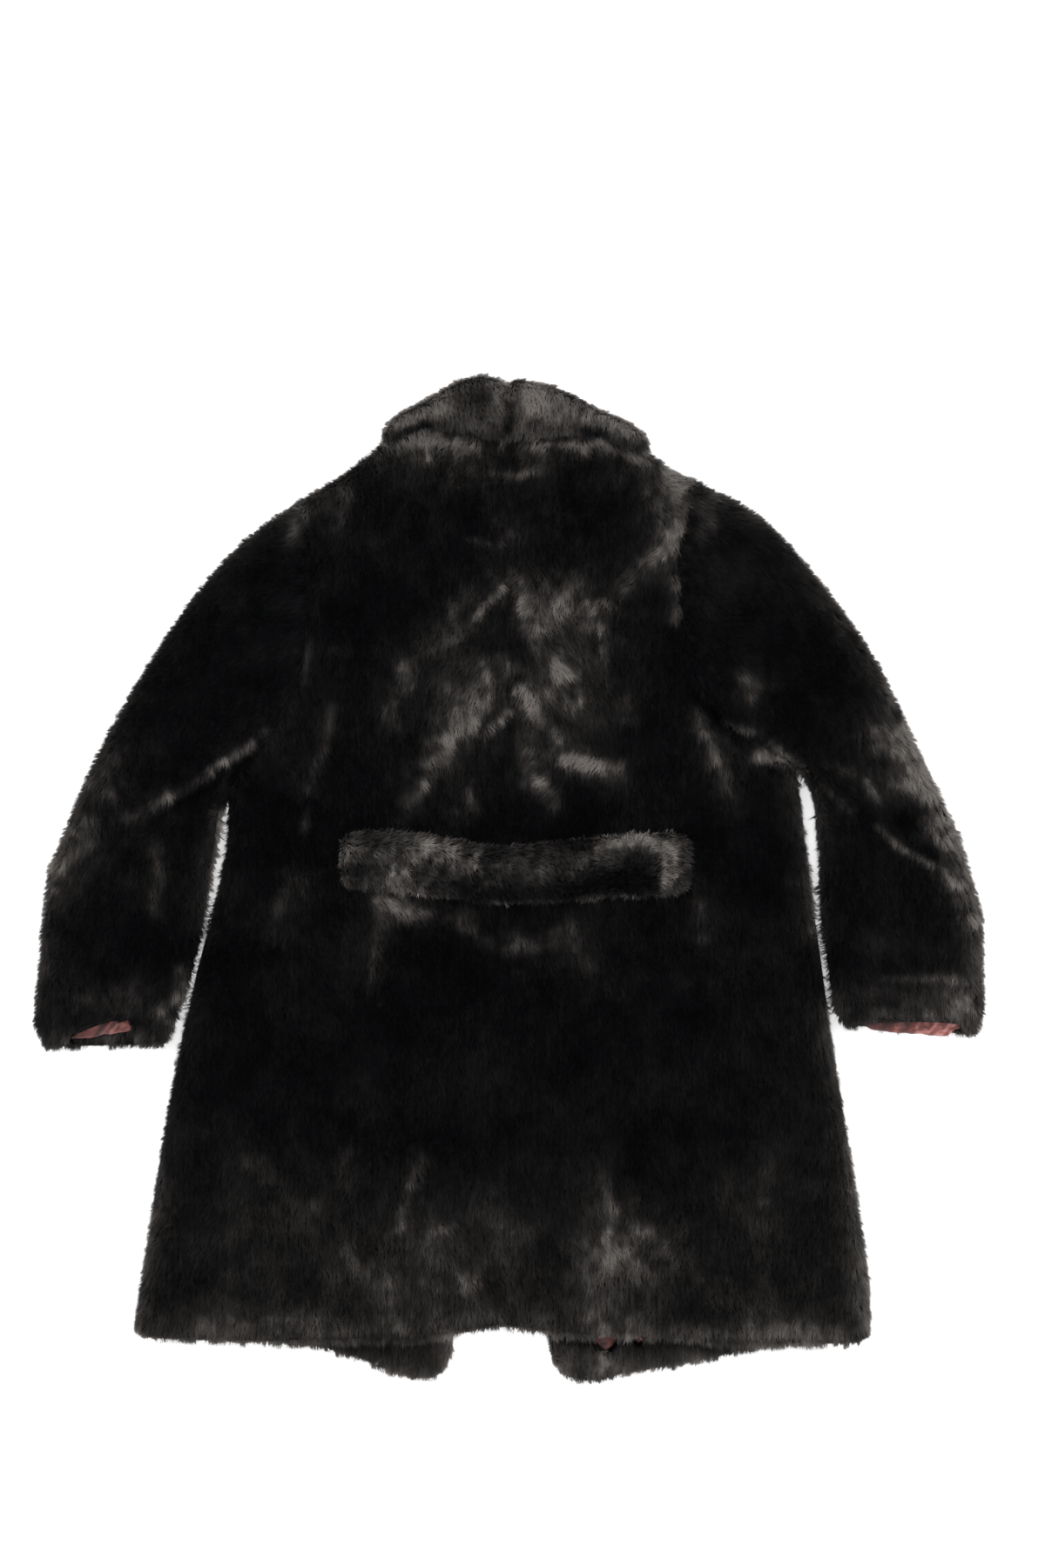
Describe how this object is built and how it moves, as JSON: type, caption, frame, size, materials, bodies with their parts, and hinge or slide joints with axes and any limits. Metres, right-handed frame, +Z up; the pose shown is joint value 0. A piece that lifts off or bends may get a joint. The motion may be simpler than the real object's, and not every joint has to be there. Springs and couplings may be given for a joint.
{
  "type": "faux fur coat",
  "caption": "Three-quarter length plush faux fur coat with a folded collar, set-in sleeves and a half-belt, laid face down with its back up",
  "frame": {"origin": "the middle of the laid coat's outline in plan, on the surface it lies on", "axes": "+X towards the right of the coat as seen from above its back, +Y from the hem towards the collar, +Z up from the surface, through the front to the back"},
  "size_m": [0.955, 1.0096, 0.0485],
  "materials": {
    "fur": "dense black plush pile about 12 mm deep, soft sheen where the nap is brushed aside",
    "long_fur": "longer swirling black pile, greyer where it catches the light",
    "lining": "brick red satin, faint sheen"
  },
  "bodies": {
    "root": {"back": "fur", "front_left": "fur", "front_right": "fur", "front_hem_left": "fur", "front_hem_right": "fur", "sleeve_left": "fur", "sleeve_right": "fur", "collar_left": "fur", "collar_right": "fur", "lapel_left": "fur", "lapel_right": "fur", "half_belt": "long_fur", "cuff_lining_left": "lining", "cuff_lining_right": "lining", "lining_front_right": "lining"}
  },
  "joints": []
}
